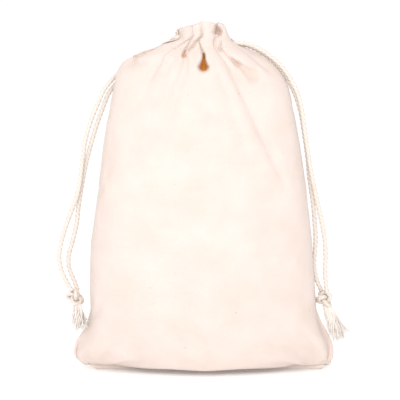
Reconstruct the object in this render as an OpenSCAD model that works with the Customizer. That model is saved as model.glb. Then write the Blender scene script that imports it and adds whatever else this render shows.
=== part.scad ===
// Closed cotton gift sack with a cord on each side that draws its mouth shut.
// Millimetres, +Z up, front towards -Y, origin on the base under the middle of the sack.

/* [Sack] */
// Height of the closed sack, base to the top of its ruffle
sack_h = 169; // [140:1:205]
// Width across the belly, seam to seam
belly_w = 100; // [84:1:120]
// Depth of the belly, front to back
belly_d = 52; // [42:1:64]
// Width across the two bottom corners
base_w = 126; // [122:1:152]
// Thickness of the cloth wall
cloth_t = 0.8; // [0.5:0.1:1]

/* [Mouth] */
// Width of the cinched neck over its pleats
neck_w = 25.6; // [24:0.2:32]
// Depth of the cinched neck over its pleats
neck_d = 22; // [20:0.2:28]
// Height of the ruffle above the cinch
ruffle_h = 9; // [7.5:0.1:14]
// Height of one pleat from valley to crest, at the neck
pleat_h = 2.4; // [1:0.1:2.8]
// Number of pleats on each panel
pleats = 4; // [3:1:6]
// Width of the vent between the panels, where the cords come out
vent_w = 6.2; // [5.9:0.1:7]

/* [Cord] */
// Diameter of the cotton cord
cord_d = 2.3; // [1.8:0.1:2.4]
// Height between the two cords in the channel
cord_rise = 2.8; // [2.7:0.1:3.2]
// Space across a vent between the two strands of one cord
strand_gap = 2.8; // [2.7:0.1:3.2]
// How far a cord's lead stands out of its vent
lead_out = 2; // [1.8:0.1:4]
// Diameter of the knot
knot_d = 7.2; // [6:0.1:9]
// Height of the knot
knot_h = 9; // [7:0.1:11]
// Length of the frayed ends below the knot
fray_l = 13; // [8:0.5:16]
// Width of the frayed ends at their tips
fray_w = 8; // [5:0.1:10]

/* [Sewing] */
// Diameter of the sewing thread
thread_d = 0.5; // [0.3:0.05:0.8]
// Stitches in the row below the channel, on each panel
stitches = 22; // [12:1:36]
// Length of one stitch
stitch_l = 1.6; // [1:0.1:2]
// Length of the bar tack across a side seam
tack_l = 3; // [2:0.1:5]

/* [Hidden] */

cloth_colour = [0.97, 0.93, 0.87];
hem_colour = [0.93, 0.88, 0.8];
cord_colour = [0.9, 0.85, 0.78];
thread_colour = [0.99, 0.97, 0.93];

LEFT = -1;
RIGHT = 1;
FRONT = -1;
BACK = 1;
columns = 24;
cord_sides = 8;
fit = 0.1;     // gap between a cord and the cloth round it
apart = 0.3;   // gap between pieces that move past each other
neck_z = sack_h - ruffle_h;
// The cinched band round the two cords, and the height below it that the shoulder reaches.
band_h = cord_rise + cord_d + 2 * fit;
shoulder_z = neck_z - band_h / 2;

// Outline of the sack by height, as shares of shoulder_z.
// SIDE and DEPTH go from 0 at the neck to 1 at the belly, EAR adds the bottom corners,
// POINT is the superellipse power of the section, 2 on an oval, and LEAN is the sway in mm.
SIDE = [
    [0, 1], [0.056, 1], [0.14, 1.06], [0.28, 1.1], [0.4, 1.09], [0.53, 1.03], [0.62, 0.98],
    [0.74, 0.91], [0.835, 0.825], [0.896, 0.745], [0.928, 0.66], [0.958, 0.54], [0.974, 0.43],
    [0.99, 0.24], [1, 0]
];
DEPTH = [
    [0, -0.05], [0.012, 0.12], [0.03, 0.27], [0.056, 0.43], [0.1, 0.62], [0.16, 0.8], [0.25, 0.94],
    [0.38, 1], [0.52, 0.98], [0.7, 0.83], [0.82, 0.62], [0.88, 0.48], [0.94, 0.28], [0.98, 0.12],
    [1, 0]
];
EAR = [[0, 0.6], [0.03, 0.93], [0.056, 1], [0.095, 0.78], [0.14, 0.36], [0.19, 0.1], [0.28, 0]];
POINT = [[0, 1.45], [0.06, 1.4], [0.14, 1.6], [0.24, 1.85], [0.4, 2]];
LEAN = [
    [0, 1.5], [0.05, -0.6], [0.28, -1.9], [0.4, -1.7], [0.55, -0.8], [0.74, -1.4], [0.896, -1.3],
    [0.96, -2.9], [0.985, -3.2], [1, 1]
];
PLEAT = [[0.8, 0], [0.92, 0.35], [0.98, 0.9], [1, 1]];

// Heights of the rings that the panels are drawn through, base to shoulder.
BODY_RINGS = [
    0, 0.012, 0.03, 0.056, 0.095, 0.14, 0.19, 0.25, 0.32, 0.4, 0.49, 0.59, 0.66, 0.71, 0.77,
    0.84, 0.88, 0.918, 0.949, 0.97
];
// The channel runs from its stitches, past the band round the cords, up to the ruffle's rings.
channel_low = 0.984 * shoulder_z;
band_top = neck_z + band_h / 2;
RUFFLE_RINGS = [0.5, 0.75, 1];
channel_heights = concat(
    [channel_low, shoulder_z, neck_z, band_top], [for (s = RUFFLE_RINGS) neck_z + s * ruffle_h]
);
panel_heights = concat([for (s = BODY_RINGS) s * shoulder_z], channel_heights);

// The right cord runs low in the channel and the left cord runs above it.
function cord_z(side) = neck_z - side * cord_rise / 2;

function share(z, outline) = lookup(z / shoulder_z, outline);
function lean(z) = share(z, LEAN);
function pleat(z) = pleat_h / 2 * share(z, PLEAT);
function half_w(z) = neck_w / 2 - pleat(z)
    + (belly_w - neck_w) / 2 * share(z, SIDE) + (base_w - belly_w) / 2 * share(z, EAR);
function half_d(z) = neck_d / 2 - pleat(z) + (belly_d - neck_d) / 2 * share(z, DEPTH);
// Half of the gap between the panels: closed by the side seam, open at the vent.
function vent(z) = lookup(z, [
    [channel_low, 0], [shoulder_z, vent_w / 2], [band_top + 1, vent_w / 2], [sack_h, vent_w / 4]
]);

// One point of a panel's section at height z, inset from its outer surface.
// turn runs from 0 at the left edge to 180 at the right edge, past the front at 90.
function power(v, e) = sign(v) * pow(abs(v), e);
function first_turn(z, b, e) = asin(pow(vent(z) / b, 1 / e));
function section_point(z, a, b, e, turn, fold) = [
    lean(z) - (a + fold * cos(2 * pleats * turn)) * power(cos(turn), e),
    -(b + fold * cos(2 * pleats * turn)) * power(sin(turn), e)
];
function section_row(z, inset, fold, lift) = let (
    e = 2 / share(z, POINT),
    a = half_w(z) - inset * (1 + 2 * (e - 1)),
    b = half_d(z) - inset,
    t0 = first_turn(z, b, e)
) [
    for (j = [0 : columns]) let (
        p = section_point(z, a, b, e, t0 + (180 - 2 * t0) * j / columns, fold)
    ) [p.x, j == 0 || j == columns ? -vent(z) : min(p.y, -vent(z)), max(z, lift)]
];
function seam_row(inset, lift) = [for (p = section_row(0, inset, 0, lift)) [p.x, 0, p.z]];

// How far inside the pleats' mean surface the channel's layers lie at height z.
function panel_inset(z) = cloth_t + pleat(z);
function holds_cord(z) = z >= shoulder_z && z <= band_top;
function hem_inset(z) = panel_inset(z) + (holds_cord(z) ? cord_d + 2 * fit : 0);

// A closed wall between two grids of points that have the same rows and columns.
module wall(outer, inner) {
    rows = len(outer);
    cols = len(outer[0]);
    base = rows * cols;
    function o(i, j) = i * cols + j;
    function n(i, j) = base + i * cols + j;
    top = rows - 1;
    last = cols - 1;
    polyhedron(
        points = [for (grid = [outer, inner]) for (row = grid) for (p = row) p],
        faces = concat(
            [for (i = [0 : top - 1]) for (j = [0 : last - 1]) each [
                [o(i, j), o(i + 1, j), o(i + 1, j + 1)],
                [o(i, j), o(i + 1, j + 1), o(i, j + 1)],
                [n(i, j), n(i + 1, j + 1), n(i + 1, j)],
                [n(i, j), n(i, j + 1), n(i + 1, j + 1)]
            ]],
            [for (i = [0 : top - 1]) each [
                [o(i + 1, 0), o(i, 0), n(i, 0)],
                [o(i + 1, 0), n(i, 0), n(i + 1, 0)],
                [o(i, last), o(i + 1, last), n(i + 1, last)],
                [o(i, last), n(i + 1, last), n(i, last)]
            ]],
            [for (j = [0 : last - 1]) each [
                [o(0, j), o(0, j + 1), n(0, j + 1)],
                [o(0, j), n(0, j + 1), n(0, j)],
                [o(top, j + 1), o(top, j), n(top, j)],
                [o(top, j + 1), n(top, j), n(top, j + 1)]
            ]]
        )
    );
}

// A tube of radius r through the points of path. across is never parallel to the path.
function direction(path, i) = let (
    d = path[min(i + 1, len(path) - 1)] - path[max(i - 1, 0)]
) d / norm(d);
module tube(path, r, sides, across) {
    rings = [
        for (i = [0 : len(path) - 1]) let (
            t = direction(path, i),
            u = cross(across, t) / norm(cross(across, t)),
            v = cross(t, u)
        ) for (k = [0 : sides - 1]) path[i] + r * (u * cos(360 * k / sides) + v * sin(360 * k / sides))
    ];
    end = (len(path) - 1) * sides;
    polyhedron(
        points = rings,
        faces = concat(
            [[for (k = [0 : sides - 1]) k], [for (k = [sides - 1 : -1 : 0]) end + k]],
            [for (i = [0 : len(path) - 2]) for (k = [0 : sides - 1]) let (
                a = i * sides + k,
                b = i * sides + (k + 1) % sides
            ) each [[a, a + sides, b + sides], [a, b + sides, b]]]
        )
    );
}

// A front half of the sack: from the bottom seam, round the base and up to the ruffle.
module panel() {
    color(cloth_colour) wall(
        concat([seam_row(0, 0)], [for (z = panel_heights) section_row(z, 0, pleat(z), 0)]),
        concat(
            [seam_row(cloth_t, cloth_t)],
            [for (z = panel_heights) section_row(z, panel_inset(z), 0, cloth_t)]
        )
    );
}

// The panel's top edge turned in, which makes the channel that the cords run in.
module hem() {
    color(hem_colour) wall(
        [for (z = channel_heights) section_row(z, hem_inset(z), 0, 0)],
        [for (z = channel_heights) section_row(z, hem_inset(z) + cloth_t, 0, 0)]
    );
}

// Thread that closes a side seam, inside the sack, from the corner up to the vent.
module side_seam_thread(side) {
    route = [
        for (s = BODY_RINGS) if (s > 0.02) let (
            z = s * shoulder_z,
            row = section_row(z, panel_inset(z), 0, 0),
            edge = side == LEFT ? row[0] : row[columns]
        ) edge - [side * thread_d / 4, 0, 0]
    ];
    color(thread_colour) tube(route, thread_d / 2, 6, [0, 1, 0]);
}

// Thread that closes the bottom seam, on the floor of the sack.
module bottom_seam_thread() {
    row = seam_row(cloth_t, cloth_t);
    low = row[0].x + base_w / 12;
    high = row[columns].x - base_w / 12;
    color(thread_colour) translate([low, 0, cloth_t + thread_d / 4])
        rotate([0, 90, 0]) cylinder(d = thread_d, h = high - low, $fn = 24);
}

// The row of stitches that holds the hem to a panel, just below the channel.
module channel_stitches() {
    z = channel_low;
    e = 2 / share(z, POINT);
    pitch = 180 / stitches;
    color(thread_colour) for (k = [0 : stitches - 1]) {
        turn = (k + 0.5) * pitch;
        here = section_point(z, half_w(z), half_d(z), e, turn, pleat(z));
        next = section_point(z, half_w(z), half_d(z), e, turn + 1, pleat(z));
        translate([here.x, here.y, z])
            rotate([0, 0, atan2(next.y - here.y, next.x - here.x)])
                rotate([0, 90, 0]) cylinder(d = thread_d, h = stitch_l, center = true, $fn = 24);
    }
}

// The bar tack that ends a side seam below its vent.
module vent_tack(side) {
    z = channel_low - thread_d;
    color(thread_colour) translate([lean(z) + side * (half_w(z) + pleat(z)), 0, z])
        cube([thread_d, tack_l, 2 * thread_d], center = true);
}

// The middle of the channel at the cords, and the half sizes of the oval that they follow.
loop_inset = cloth_t + pleat_h + cord_d / 2 + fit;
loop_a = neck_w / 2 - loop_inset;
loop_b = neck_d / 2 - loop_inset;
lead_start = loop_a + cord_d / 2 + apart;
lead_end = neck_w / 2 + lead_out;
swivel_gap = cord_d / 2 + apart;

// The part of a cord in the channel: in at its own vent, round the neck, and back out.
module cord_loop(side) {
    first = 36;
    turns = [for (k = [0 : 12]) first + (360 - 2 * first) * k / 12];
    mid = lean(neck_z);
    function loop_point(x, y) = [mid + side * x, y, cord_z(side)];
    ends = [lead_start - apart, lead_start - apart - cord_d / 2];
    route = concat(
        [for (x = ends) loop_point(x, -strand_gap / 2)],
        [for (t = turns) loop_point(loop_a * cos(t), -loop_b * sin(t))],
        [for (x = [ends[1], ends[0]]) loop_point(x, strand_gap / 2)]
    );
    color(cord_colour) tube(route, cord_d / 2, cord_sides, [0, 0, 1]);
}

// The two short lengths of a cord that stand in its vent and slide as it is pulled.
module cord_lead(side) {
    mid = lean(neck_z);
    color(cord_colour) for (face = [FRONT, BACK])
        tube(
            [
                for (x = [lead_start, lead_end - swivel_gap])
                    [mid + side * x, face * strand_gap / 2, cord_z(side)]
            ],
            cord_d / 2, cord_sides, [0, 0, 1]
        );
}

// Routes of the four free strands, from the end of a lead to the knot, as [x, z, back]: back is
// how far the strand lies behind its vent. The left cord goes over the back of the shoulder.
LEFT_FRONT = [
    [-13.8, 161.4, 0], [-18, 160.9, 0.8], [-22.4, 158.4, 4.2], [-26.6, 155.8, 7.8],
    [-31.4, 151.8, 9.8], [-36.6, 148.6, 8.6], [-41.2, 145, 5.8], [-44.8, 141, 2.6],
    [-48.4, 136, 0.4], [-51.6, 129, 0], [-54.6, 121.5, 0], [-57.4, 112, 0], [-58.8, 102.5, 0],
    [-60, 93, 0], [-61.6, 85, 0], [-64.2, 78, 0], [-66.8, 71, 0], [-69.2, 63, 0],
    [-70.6, 55.5, 0], [-69.8, 49, 0], [-67.6, 43.6, 0], [-65.2, 39.6, 0]
];
LEFT_BACK = [
    [-13.8, 161.4, 0], [-18, 160.4, 2.4], [-22.2, 157.2, 7], [-26, 153.8, 9.8],
    [-30.6, 150.4, 9.8], [-35.6, 146.8, 8.6], [-40, 142.8, 5.8], [-43.6, 138.6, 2.8],
    [-46.8, 133.8, 0.4], [-49.2, 127.5, 0], [-51.8, 120.5, 0], [-54.6, 111.5, 0], [-57, 102.5, 0],
    [-59, 93, 0], [-60.4, 85, 0], [-61.4, 78, 0], [-62.2, 71, 0], [-64, 63.5, 0], [-66, 56, 0],
    [-66.2, 50, 0], [-64.6, 44.6, 0], [-62.8, 39.8, 0]
];
RIGHT_FRONT = [
    [15.8, 158.6, 0], [20.8, 158, 0], [26.2, 155.9, 0], [31.6, 152.4, 0], [37, 147.6, 0],
    [41.4, 141.4, 0], [44.8, 134.6, 0], [46.8, 127.4, 0], [48, 119.5, 0], [49.2, 111.5, 0],
    [50.4, 103.5, 0], [51.8, 95.5, 0], [53.4, 87.5, 0], [55.2, 79.5, 0], [57, 71.5, 0],
    [58.4, 63.5, 0], [58.8, 55.5, 0], [58.6, 49, 0], [58.8, 43.8, 0], [59.2, 39.4, 0]
];
RIGHT_BACK = [
    [15.8, 158.6, 0], [20.6, 157.6, 0], [26, 155.2, 0], [31.8, 151.6, 0], [36.8, 146.4, 0],
    [41.2, 139.8, 0], [44.4, 132.8, 0], [46.6, 125.6, 0], [48, 117.8, 0], [49.2, 110, 0],
    [50.3, 102, 0], [51, 94, 0], [52.2, 86, 0], [53.2, 78.4, 0], [53.8, 71, 0], [54.2, 63.5, 0],
    [53.8, 56.5, 0], [53.6, 50.4, 0], [54.8, 45, 0], [56.8, 40.4, 0]
];
module strand(route, face) {
    color(cord_colour) tube(
        [for (p = route) [p.x, face * strand_gap / 2 + p.z, p.y]], cord_d / 2, cord_sides, [0, 1, 0]
    );
}

// Knots hang under the middle of their two strands, and the frayed ends lean from there.
function knot_top(side) = side == LEFT
    ? (LEFT_FRONT[len(LEFT_FRONT) - 1] + LEFT_BACK[len(LEFT_BACK) - 1]) / 2
    : (RIGHT_FRONT[len(RIGHT_FRONT) - 1] + RIGHT_BACK[len(RIGHT_BACK) - 1]) / 2;
strand_grip = 1.4;
knot_round = 2.6;
fray_tilt = 34;
module knot(side) {
    top = knot_top(side);
    r = knot_d / 2;
    color(cord_colour) translate([top.x, 0, top.y + strand_grip - knot_h])
        rotate_extrude($fn = 32) intersection() {
            square([r, knot_h]);
            hull() {
                translate([r - knot_round, knot_round]) circle(knot_round, $fn = 32);
                translate([r - knot_round, knot_h - knot_round]) circle(knot_round, $fn = 32);
                square([r - knot_round, knot_h]);
            }
        }
}
module frayed_ends(side) {
    top = knot_top(side);
    color(cord_colour) translate([top.x, 0, top.y + strand_grip - knot_h + 1])
        rotate([-fray_tilt, side == LEFT ? -12 : -14, 0]) rotate([180, 0, 0])
            cylinder(d1 = 1.7 * cord_d, d2 = fray_w, h = fray_l, $fn = 32);
}

panel();  // front_panel
mirror([0, 1, 0]) panel();  // back_panel
hem();  // front_hem
mirror([0, 1, 0]) hem();  // back_hem
side_seam_thread(LEFT);  // left_seam_thread
side_seam_thread(RIGHT);  // right_seam_thread
bottom_seam_thread();
channel_stitches();  // front_channel_stitches
mirror([0, 1, 0]) channel_stitches();  // back_channel_stitches
vent_tack(LEFT);  // left_vent_tack
vent_tack(RIGHT);  // right_vent_tack
cord_loop(LEFT);  // left_cord_loop
cord_loop(RIGHT);  // right_cord_loop
cord_lead(LEFT);  // left_cord_lead
cord_lead(RIGHT);  // right_cord_lead
strand(LEFT_FRONT, FRONT);  // left_front_strand
strand(LEFT_BACK, BACK);  // left_back_strand
knot(LEFT);  // left_knot
frayed_ends(LEFT);  // left_frayed_ends
strand(RIGHT_FRONT, FRONT);  // right_front_strand
strand(RIGHT_BACK, BACK);  // right_back_strand
knot(RIGHT);  // right_knot
frayed_ends(RIGHT);  // right_frayed_ends
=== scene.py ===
"""A closed cotton gift sack: two sewn panels gathered at the neck by a knotted cord on each side."""

import math
import random

import bmesh
import bpy
import numpy as np
from bpy.props import FloatProperty, FloatVectorProperty, IntProperty, PointerProperty
from mathutils import Matrix, Vector


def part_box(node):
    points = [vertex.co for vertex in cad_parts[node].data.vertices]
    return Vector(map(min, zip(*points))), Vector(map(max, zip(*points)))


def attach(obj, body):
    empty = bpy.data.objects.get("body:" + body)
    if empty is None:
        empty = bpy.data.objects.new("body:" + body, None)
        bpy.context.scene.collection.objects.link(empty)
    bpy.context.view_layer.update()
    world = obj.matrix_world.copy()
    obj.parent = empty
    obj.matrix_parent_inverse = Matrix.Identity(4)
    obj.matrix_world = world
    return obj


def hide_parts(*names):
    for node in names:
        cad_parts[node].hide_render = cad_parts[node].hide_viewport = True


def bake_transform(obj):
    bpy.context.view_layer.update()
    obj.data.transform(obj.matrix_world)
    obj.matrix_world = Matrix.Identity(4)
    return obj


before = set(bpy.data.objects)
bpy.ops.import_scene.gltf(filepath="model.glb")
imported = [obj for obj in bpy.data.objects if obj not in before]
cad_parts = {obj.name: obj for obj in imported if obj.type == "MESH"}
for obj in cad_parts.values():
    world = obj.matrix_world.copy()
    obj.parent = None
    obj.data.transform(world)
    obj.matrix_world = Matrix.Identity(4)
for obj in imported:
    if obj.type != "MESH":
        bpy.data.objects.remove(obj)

bl_info = {
    "name": "Cotton Gift Sack",
    "version": (1, 0, 0),
    "blender": (4, 5, 0),
    "location": "View3D > Sidebar > Sack",
    "description": "Builds a closed cotton sack with two drawstrings round its packed frame",
    "category": "Object",
}

MM = 0.001
LEFT, RIGHT = -1, 1
FRONT, BACK = -1, 1
SIDE_NAMES = {LEFT: "left", RIGHT: "right"}
FACE_NAMES = {FRONT: "front", BACK: "back"}

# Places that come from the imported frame, in metres.
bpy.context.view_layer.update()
SACK_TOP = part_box("front_panel")[1][2]
LOOP_BOXES = {side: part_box(f"{SIDE_NAMES[side]}_cord_loop") for side in (LEFT, RIGHT)}
CORD_Z = {side: (low[2] + high[2]) / 2 for side, (low, high) in LOOP_BOXES.items()}
NECK_X = sum(low[0] + high[0] for low, high in LOOP_BOXES.values()) / 4
NECK_Z = sum(CORD_Z.values()) / 2

# How far from the middle of the neck a cord leaves its channel, and how far each of its strands
# then stands before or behind the middle of the vent.
VENT_REACH = 9.8 * MM
STRAND_OFFSET = 1.4 * MM
# Routes of the four free strands from their vent to their knot, in millimetres, as (x, z, back):
# back is how far a strand lies behind its vent. The left cord goes over the back of the shoulder.
ROUTES = {
    (LEFT, FRONT): [
        (-13.8, 161.2, 0.4), (-18, 158.6, 6.8), (-22.4, 156.4, 8.6), (-26.6, 153.8, 9.8),
        (-31.4, 150.4, 10.8), (-36.6, 147.6, 9.6), (-41.6, 144.4, 6.4), (-45.2, 140.6, 2.8),
        (-48.6, 135.8, 0.4), (-51.6, 129, 0), (-54.6, 121.5, 0), (-57.4, 112, 0), (-58.8, 102.5, 0),
        (-60, 93, 0), (-61.6, 85, 0), (-64.2, 78, 0), (-66.8, 71, 0), (-69.2, 63, 0),
        (-70.4, 55.5, 0), (-69.4, 49, 0), (-66.8, 43.2, 0), (-64.2, 38.8, 0),
    ],
    (LEFT, BACK): [
        (-13.8, 161.2, 0.4), (-18, 158.4, 6.8), (-22.2, 155.8, 8.8), (-26, 152.8, 10),
        (-30.6, 149.4, 10.8), (-35.6, 146.2, 9.6), (-40.2, 142.4, 6.4), (-43.8, 138.4, 3),
        (-46.8, 133.8, 0.4), (-49.2, 127.5, 0), (-51.8, 120.5, 0), (-54.6, 111.5, 0),
        (-57, 102.5, 0), (-59, 93, 0), (-60.4, 85, 0), (-61.4, 78, 0), (-62.2, 71, 0),
        (-64, 63.5, 0), (-66, 56, 0), (-66, 50, 0), (-63.8, 44.2, 0), (-61.8, 39, 0),
    ],
    (RIGHT, FRONT): [
        (15.8, 158.6, 0), (20.8, 158, 0), (26.2, 155.9, 0), (31.6, 152.4, 0), (37, 147.6, 0),
        (41.4, 141.4, 0), (44.8, 134.6, 0), (46.8, 127.4, 0), (48, 119.5, 0), (49.2, 111.5, 0),
        (50.4, 103.5, 0), (51.8, 95.5, 0), (53.4, 87.5, 0), (55.2, 79.5, 0), (57, 71.5, 0),
        (58.4, 63.5, 0), (58.8, 55.5, 0), (58.6, 49, 0), (59, 42.6, 0), (59.6, 37.4, 0),
    ],
    (RIGHT, BACK): [
        (15.8, 158.6, 0), (20.6, 157.6, 0), (26, 155.2, 0), (31.8, 151.6, 0), (36.8, 146.4, 0),
        (41.2, 139.8, 0), (44.4, 132.8, 0), (46.6, 125.6, 0), (48, 117.8, 0), (49.2, 110, 0),
        (50.3, 102, 0), (51, 94, 0), (52.2, 86, 0), (53.2, 78.4, 0), (53.8, 71, 0),
        (54.2, 63.5, 0), (53.8, 56.5, 0), (53.6, 50.4, 0), (54.8, 44, 0), (57.2, 38.6, 0),
    ],
}

# Where the neck's pleats fold inwards, in degrees round each panel from its left edge.
CREASES = {FRONT: (56, 79, 117), BACK: (38, 74, 101, 142)}
# How far below the cinch the channel is sewn, and how far below it each side seam ends in a vent.
CHANNEL_DROP = 5.2 * MM
VENT_DROP = 5 * MM
# How far each edge of a vent stands from its middle.
VENT_GAP = 2.7 * MM
# How much of each panel's height lies under the sack.
BASE_CLOTH = 9 * MM
# The cloth settles at ten times its size, and is held from this far below the cinch.
SETTLING_SCALE = 10.0
HELD_BAND = 4 * MM
# How far up the ruffle reaches along each panel, left to right, as shares of its height.
RUFFLE_TOPS = {
    FRONT: ((0, 0.55), (0.1, 0.6), (0.3, 0.66), (0.42, 0.74), (0.5, 0.84), (0.66, 0.84), (0.73, 0.74),
            (0.8, 0.84), (0.86, 0.72), (0.93, 0.42), (1, 0.12)),
    BACK: ((0, 0.45), (0.25, 0.55), (0.5, 0.66), (0.75, 0.55), (1, 0.12)),
}
# How far each soft side stands out past the frame, by height below the cinch, in millimetres.
SIDE_SWELL = {
    LEFT: ((0, 2.6), (0.4, 6), (1.9, 12.2), (3.3, 13), (4.8, 8.4), (6.3, 3.6), (9.2, 3.6), (14, 2.8),
           (19, 1.5), (24, 0.8), (30, 0)),
    RIGHT: ((0, 2.2), (0.4, 2.4), (1.9, 5.4), (3.3, 6.6), (4.8, 4.6), (6.3, 3.2), (9.2, 2.1), (14, 1.4),
            (19, 0.8), (24, 0.4), (30, 0), (80, 0), (100, 0.8), (115, 1.6), (125, 1.9), (138, 2),
            (148, 1), (156, 0)),
}
# How far the tied knots sit from their places in the frame, and where their tassels point, as
# (x, z) in millimetres.
KNOT_SHIFT = {LEFT: (1.0, -0.8), RIGHT: (0.4, -2.2)}
TASSEL_TIPS = {LEFT: (-59.4, 21.6), RIGHT: (65.2, 16.8)}
# Pleats that open below the cinch, on the front: top and bottom as (x, z) in millimetres,
# then half width, depth, and how strong the painted shade in each pleat is.
PLEAT_HOLLOWS = (
    ((-0.2, 152.6), (-0.4, 146.4), 2.4, 7.0, 1.0),
    ((-2.8, 158.8), (-0.2, 151.4), 0.9, 2.4, 0.2),
    ((-6.2, 160.0), (-9.4, 153.6), 0.8, 1.6, 0.1),
    ((-9.4, 153.8), (-9.8, 151.8), 1.1, 2.6, 0.55),
    ((8.0, 161.0), (7.5, 154.7), 0.8, 1.6, 0.0),
    ((7.4, 155.2), (15.6, 147.8), 1.6, 2.6, 0.05),
    ((12.5, 150.0), (23.0, 142.6), 3.4, 2.8, 0.05),
    ((5.2, 167.6), (6.2, 163.6), 2.2, 5.0, 0.06),
    ((-12.0, 152.0), (-19.0, 145.0), 3.2, 1.2, 0.0),
)
# Superellipse power of a section by height: thin points at the base, an oval above.
SECTION_POWER = ((0, 1.45), (0.06, 1.4), (0.14, 1.6), (0.24, 1.85), (0.4, 2))
# The middle of the view, in metres, and the width of the camera's sensor in millimetres.
VIEW_MIDDLE = (-0.0021, 0, 0.0829)
SENSOR_WIDTH = 36.0


# --- Sizes and colours ------------------------------------------------------------------------

def length_setting(name, description, default, low, high):
    """A length in metres."""
    return FloatProperty(name=name, description=description, default=default, min=low, max=high,
                         unit="LENGTH", precision=5)


def colour_setting(name, description, default):
    """A colour as red, green and blue."""
    return FloatVectorProperty(name=name, description=description, default=default, size=3,
                               subtype="COLOR", min=0, max=1)


class SACK_PG_cloth(bpy.types.PropertyGroup):
    flat_width: length_setting("Flat Width", "Width of one panel laid flat, seam to seam", 0.13, 0.08, 0.3)
    flat_height: length_setting(
        "Flat Height", "Height of one panel laid flat, bottom seam to top fold", 0.18, 0.1, 0.4)
    thickness: length_setting("Thickness", "Thickness of the calico", 0.0005, 0.0002, 0.002)
    pressure: FloatProperty(
        name="Fill Pressure", description="Push of the filling against the cloth",
        default=3.0, min=0, max=20)
    stiffness: FloatProperty(
        name="Bending Stiffness", description="How strongly the cloth resists a crease",
        default=2.0, min=0, max=50)
    columns: IntProperty(
        name="Columns", description="Cells across one panel", default=80, min=24, max=120)
    rows: IntProperty(
        name="Rows", description="Cells up one panel", default=112, min=30, max=160)
    frames: IntProperty(
        name="Settling Steps", description="Steps that the cloth settles for",
        default=36, min=5, max=120)
    colour: colour_setting("Calico", "Colour of the unbleached cotton", (0.73, 0.628, 0.582))
    # Painted shade: a warm brown laid deep in the pleats and in the mouth of the sack, where shade falls.
    hollow: colour_setting("Hollow", "Warm colour deep between the pleats", (0.58, 0.25, 0.045))


class SACK_PG_cord(bpy.types.PropertyGroup):
    diameter: length_setting("Diameter", "Diameter of the twisted cotton cord", 0.0023, 0.001, 0.006)
    lay: length_setting(
        "Lay Length", "Length in which a ply goes once round the cord", 0.0068, 0.002, 0.03)
    fibres: IntProperty(
        name="Fibres", description="Loose yarns in each frayed end",
        default=170, min=20, max=300)
    colour: colour_setting("Cotton", "Colour of the cord", (0.8, 0.742, 0.694))


class SACK_PG_sewing(bpy.types.PropertyGroup):
    thread: length_setting("Thread", "Diameter of the sewing thread", 0.0004, 0.0002, 0.001)
    pitch: length_setting("Stitch Pitch", "Distance from one stitch to the next", 0.0026, 0.001, 0.006)
    colour: colour_setting("Thread Colour", "Colour of the sewing thread", (0.78, 0.69, 0.63))


class SACK_PG_stage(bpy.types.PropertyGroup):
    lens: FloatProperty(
        name="Lens", description="Focal length in millimetres", default=100, min=20, max=300)
    width: length_setting("View Width", "Width of the view at the sack", 0.194, 0.05, 1)
    elevation: FloatProperty(
        name="Elevation", description="Camera height as an angle above the sack's middle",
        default=math.radians(2.5), subtype="ANGLE")
    surround: FloatProperty(
        name="Surround", description="Strength of the white studio round the sack",
        default=0.94, min=0, max=5)
    floor: colour_setting("Floor", "Colour of the floor", (0.99, 0.99, 0.99))


# --- Meshes -----------------------------------------------------------------------------------

def deselect_all():
    """Object mode with nothing selected, as an operator that acts on one object needs."""
    if bpy.context.mode != "OBJECT":
        bpy.ops.object.mode_set(mode="OBJECT")
    bpy.ops.object.select_all(action="DESELECT")


def add_mesh(name, points, faces, material=None):
    """A new object at the origin whose mesh is those points and faces."""
    mesh = bpy.data.meshes.new(name)
    mesh.from_pydata([tuple(p) for p in points], [], [tuple(f) for f in faces])
    mesh.validate()
    piece = bpy.data.objects.new(name, mesh)
    bpy.context.scene.collection.objects.link(piece)
    if material:
        mesh.materials.append(material)
    return piece


def mesh_points(mesh):
    """Every point of a mesh, one a row."""
    points = np.empty(len(mesh.vertices) * 3)
    mesh.vertices.foreach_get("co", points)
    return points.reshape(-1, 3)


def shade_smooth(piece):
    piece.data.polygons.foreach_set("use_smooth", [True] * len(piece.data.polygons))


def apply_modifier(piece, modifier):
    """Writes one modifier of piece into its mesh."""
    deselect_all()
    piece.select_set(True)
    bpy.context.view_layer.objects.active = piece
    bpy.ops.object.modifier_apply(modifier=modifier.name)


def face_outwards(piece):
    """Turns every face of a closed mesh so that its normal points out."""
    mesh = bmesh.new()
    mesh.from_mesh(piece.data)
    bmesh.ops.recalc_face_normals(mesh, faces=mesh.faces)
    mesh.to_mesh(piece.data)
    mesh.free()


def add_solid(name, shape, material):
    """A new smooth piece from the points and faces of a closed shape."""
    piece = add_mesh(name, *shape, material)
    face_outwards(piece)
    shade_smooth(piece)
    return piece


def thicken(piece, thickness):
    """Gives a surface a wall behind it."""
    wall = piece.modifiers.new("wall", "SOLIDIFY")
    wall.thickness = thickness
    wall.offset = -1
    apply_modifier(piece, wall)


def smooth_path(points, step):
    """Points every step metres along one smooth curve through points."""
    pts = np.asarray(points, float)
    ends = np.vstack([2 * pts[0] - pts[1], pts, 2 * pts[-1] - pts[-2]])
    fine = []
    for i in range(len(pts) - 1):
        a, b, c, d = ends[i:i + 4]
        for t in np.linspace(0, 1, 16, endpoint=False):
            fine.append(0.5 * (2 * b + (c - a) * t + (2 * a - 5 * b + 4 * c - d) * t * t
                               + (3 * b - a - 3 * c + d) * t ** 3))
    fine = np.array(fine + [pts[-1]])
    run = np.concatenate([[0], np.cumsum(np.linalg.norm(np.diff(fine, axis=0), axis=1))])
    at = np.linspace(0, run[-1], max(3, int(round(run[-1] / step)) + 1))
    return np.stack([np.interp(at, run, fine[:, k]) for k in range(3)], axis=1)


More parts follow.
